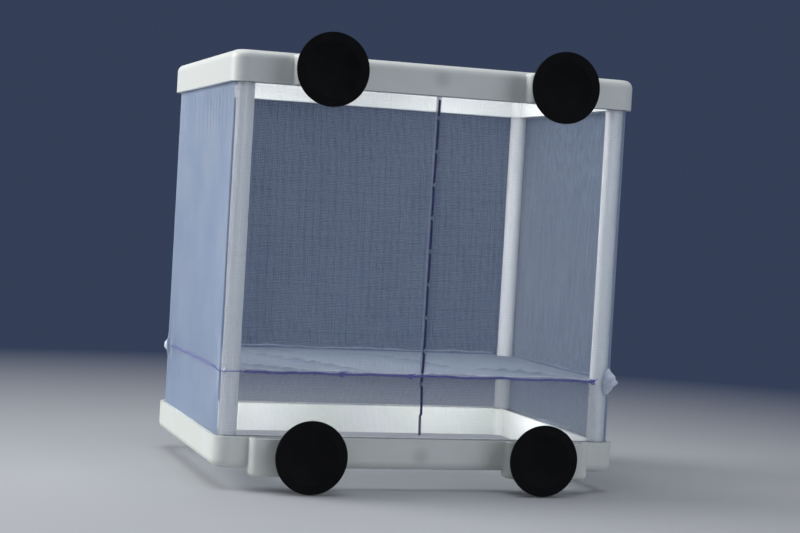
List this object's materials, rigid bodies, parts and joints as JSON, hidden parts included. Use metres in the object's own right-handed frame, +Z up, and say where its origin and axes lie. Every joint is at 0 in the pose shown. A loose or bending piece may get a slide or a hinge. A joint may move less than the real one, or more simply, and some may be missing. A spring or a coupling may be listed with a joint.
{
  "type": "fish breeding box",
  "caption": "Open-topped net breeding box: a fine cloth bag stretched over hollow corner posts between white frames, held to aquarium glass by suction cups.",
  "frame": {"origin": "on the inner face of the aquarium glass, midway between the four suction cups", "axes": "-Y points into the glass, +Y away from it across the box, +X to the right as seen through the glass, +Z up"},
  "size_m": [0.1654, 0.1321, 0.174],
  "materials": {
    "frame_plastic": "satin injection-moulded white",
    "post_plastic": "satin extruded white tube",
    "cup_rubber": "soft matte black",
    "net_cloth": "fine see-through woven net, pale blue",
    "hem_cloth": "the same net, doubled",
    "elastic": "braided white elastic",
    "seam_thread": "twisted navy thread",
    "seam_cord": "twisted violet-blue thread"
  },
  "bodies": {
    "base": {"bottom_frame": "frame_plastic", "post_front_left": "post_plastic", "post_front_right": "post_plastic", "post_rear_left": "post_plastic", "post_rear_right": "post_plastic", "net_front": "net_cloth", "net_rear": "net_cloth", "net_left": "net_cloth", "net_right": "net_cloth", "net_corners": "net_cloth", "net_floor": "net_cloth", "top_hem": "hem_cloth", "bottom_hem": "hem_cloth", "top_elastic": "elastic", "bottom_elastic": "elastic", "front_seam_lap": "hem_cloth", "front_seam_stitches": "seam_thread", "floor_seam_cord": "seam_cord", "corner_tucks": "net_cloth"},
    "top_frame": {"top_frame": "frame_plastic"},
    "cup_top_left": {"suction_cup_top_left": "cup_rubber"},
    "cup_top_right": {"suction_cup_top_right": "cup_rubber"},
    "cup_bottom_left": {"suction_cup_bottom_left": "cup_rubber"},
    "cup_bottom_right": {"suction_cup_bottom_right": "cup_rubber"}
  },
  "joints": [
    {"name": "top_frame_lift", "type": "slide", "parent": "base", "child": "top_frame", "axis": [0, 0, 1], "range_m": [0, 0.015]},
    {"name": "cup_top_left_swivel", "type": "hinge", "parent": "top_frame", "child": "cup_top_left", "pos_m": [-0.047, 0.0065, 0.073], "axis": [0, 1, 0], "continuous": true},
    {"name": "cup_top_right_swivel", "type": "hinge", "parent": "top_frame", "child": "cup_top_right", "pos_m": [0.047, 0.0065, 0.073], "axis": [0, 1, 0], "continuous": true},
    {"name": "cup_bottom_left_swivel", "type": "hinge", "parent": "base", "child": "cup_bottom_left", "pos_m": [-0.047, 0.0065, -0.073], "axis": [0, 1, 0], "continuous": true},
    {"name": "cup_bottom_right_swivel", "type": "hinge", "parent": "base", "child": "cup_bottom_right", "pos_m": [0.047, 0.0065, -0.073], "axis": [0, 1, 0], "continuous": true}
  ]
}
